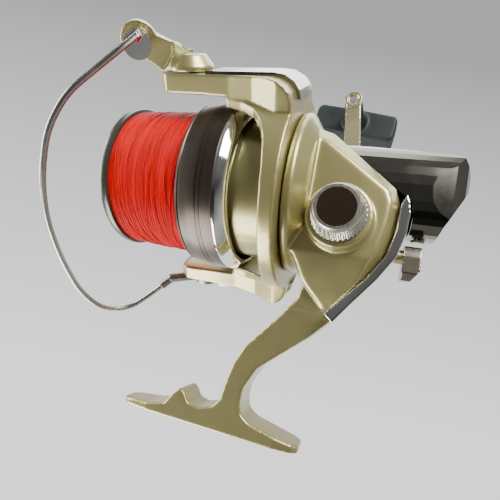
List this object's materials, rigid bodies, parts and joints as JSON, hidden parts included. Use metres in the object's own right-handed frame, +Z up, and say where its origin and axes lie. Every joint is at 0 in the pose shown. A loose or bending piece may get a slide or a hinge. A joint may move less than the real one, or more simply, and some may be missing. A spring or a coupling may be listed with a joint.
{
  "type": "spinning fishing reel",
  "caption": "Surf spinning reel: foot, stem and gearbox carry a cranked rotor with bail, a line-filled spool with front drag, and a T-bar knob on a side arm.",
  "frame": {"origin": "middle of the foot's seat face, which lies against the rod", "axes": "+X forward along the spool axis towards the drag knob, +Y to the crank-arm side, +Z up out of the foot into the rod"},
  "size_m": [0.1531, 0.1588, 0.1828],
  "materials": {
    "gold_paint": "metallic champagne gold paint, glossy, lightly worn",
    "olive_paint": "dark olive gold paint, glossy",
    "dark_chrome": "dark bronze chrome, mirror gloss",
    "bright_chrome": "bright chrome",
    "plain_steel": "turned steel",
    "plain_aluminium": "die-cast",
    "bush_brass": "turned brass",
    "black_plastic": "black moulded plastic",
    "dark_plastic": "dark glossy plastic",
    "roller_chrome": "bright chrome",
    "wire_steel": "polished stainless wire",
    "holder_grey": "grey satin paint",
    "spool_bronze": "dark bronze anodised, turned",
    "red_line": "fluorescent red nylon line",
    "felt": "oiled felt",
    "drag_knob_paint": "dark grey anodised",
    "knurled_silver": "knurled and polished",
    "dark_mirror": "dark bronze mirror disc",
    "crank_paint": "champagne gold paint",
    "knob_rubber": "soft black grip"
  },
  "bodies": {
    "housing": {"body_housing": "gold_paint", "side_cover": "olive_paint", "cover_screws": "plain_steel", "rear_cover": "dark_chrome", "rear_cover_screw": "plain_steel", "rear_guard": "bright_chrome", "main_bearing": "plain_steel", "pinion_bush": "bush_brass", "one_way_clutch": "plain_steel", "clutch_plate": "plain_aluminium", "worm_bush_front": "bush_brass", "worm_bush_rear": "bush_brass", "gear_bearing_left": "plain_steel", "gear_bearing_right": "plain_steel"},
    "crank": {"drive_gear": "plain_aluminium", "crank_spindle": "plain_steel", "crank_arm": "crank_paint", "knob_spindle": "plain_steel"},
    "screw_cap": {"screw_cap": "knurled_silver", "screw_cap_disc": "dark_mirror"},
    "knob": {"knob": "knob_rubber", "knob_cap": "black_plastic"},
    "rotor": {"rotor": "gold_paint", "arm_cover_1": "bright_chrome", "arm_cover_2": "bright_chrome", "rotor_nut": "plain_steel", "pinion": "bush_brass", "clutch_sleeve": "plain_steel", "bail_spring": "plain_steel", "spring_rod": "plain_steel", "trip_lever": "black_plastic", "bail_arm_screw": "plain_steel", "bail_holder_screw": "plain_steel"},
    "bail": {"bail_arm": "gold_paint", "roller_pin": "plain_steel", "roller_cap": "roller_chrome", "bail_wire": "wire_steel", "bail_holder": "holder_grey"},
    "line_roller": {"line_roller": "roller_chrome", "roller_bush": "black_plastic"},
    "worm": {"worm_shaft": "plain_steel"},
    "shaft": {"main_shaft": "plain_steel", "slider": "plain_aluminium", "slider_pawl": "plain_steel", "slider_screw": "plain_steel", "spool_sleeve": "bush_brass", "click_wheel": "black_plastic", "drag_washer_metal_rear": "plain_steel", "drag_washer_metal_front": "plain_steel"},
    "spool": {"spool": "spool_bronze", "spool_ring": "bright_chrome", "line_winding": "red_line", "drag_washer_felt_rear": "felt", "drag_washer_felt_front": "felt", "washer_clip": "plain_steel"},
    "drag_knob": {"drag_knob": "drag_knob_paint"},
    "anti_reverse": {"anti_reverse_stub": "gold_paint", "anti_reverse_lever": "dark_plastic"}
  },
  "joints": [
    {"name": "crank_turn", "type": "hinge", "parent": "housing", "child": "crank", "pos_m": [-0.0383, 0, -0.0818], "axis": [0, 1, 0], "continuous": true},
    {"name": "screw_cap_turn", "type": "hinge", "parent": "crank", "child": "screw_cap", "pos_m": [-0.0383, -0.031, -0.0818], "axis": [0, 1, 0], "continuous": true},
    {"name": "knob_turn", "type": "hinge", "parent": "crank", "child": "knob", "pos_m": [-0.02714, 0.101, -0.17141], "axis": [0, 1, 0], "continuous": true},
    {"name": "rotor_turn", "type": "hinge", "parent": "housing", "child": "rotor", "pos_m": [0, 0, -0.094], "axis": [1, 0, 0], "continuous": true},
    {"name": "bail_flip", "type": "hinge", "parent": "rotor", "child": "bail", "pos_m": [0.024, 0, -0.094], "axis": [0, 0.6018, 0.7986], "range_deg": [0, 95]},
    {"name": "line_roller_turn", "type": "hinge", "parent": "bail", "child": "line_roller", "pos_m": [0.03838, -0.04155, -0.13091], "axis": [-0.4501, -0.5746, 0.6835], "continuous": true},
    {"name": "worm_turn", "type": "hinge", "parent": "housing", "child": "worm", "pos_m": [-0.05, 0.003, -0.104], "axis": [1, 0, 0], "continuous": true},
    {"name": "spool_stroke", "type": "slide", "parent": "housing", "child": "shaft", "axis": [1, 0, 0], "range_m": [-0.01, 0.016]},
    {"name": "spool_slip", "type": "hinge", "parent": "shaft", "child": "spool", "pos_m": [0.03, 0, -0.094], "axis": [1, 0, 0], "continuous": true},
    {"name": "drag_turn", "type": "hinge", "parent": "shaft", "child": "drag_knob", "pos_m": [0.05, 0, -0.094], "axis": [1, 0, 0], "range_deg": [-540, 180]},
    {"name": "anti_reverse_turn", "type": "hinge", "parent": "housing", "child": "anti_reverse", "pos_m": [-0.06, 0, -0.075], "axis": [1, 0, 0], "range_deg": [0, 60]}
  ],
  "couplings": [
    {"joint": "rotor_turn", "follows": "crank_turn", "ratio": 4.6},
    {"joint": "worm_turn", "follows": "crank_turn", "ratio": -5.1111}
  ]
}
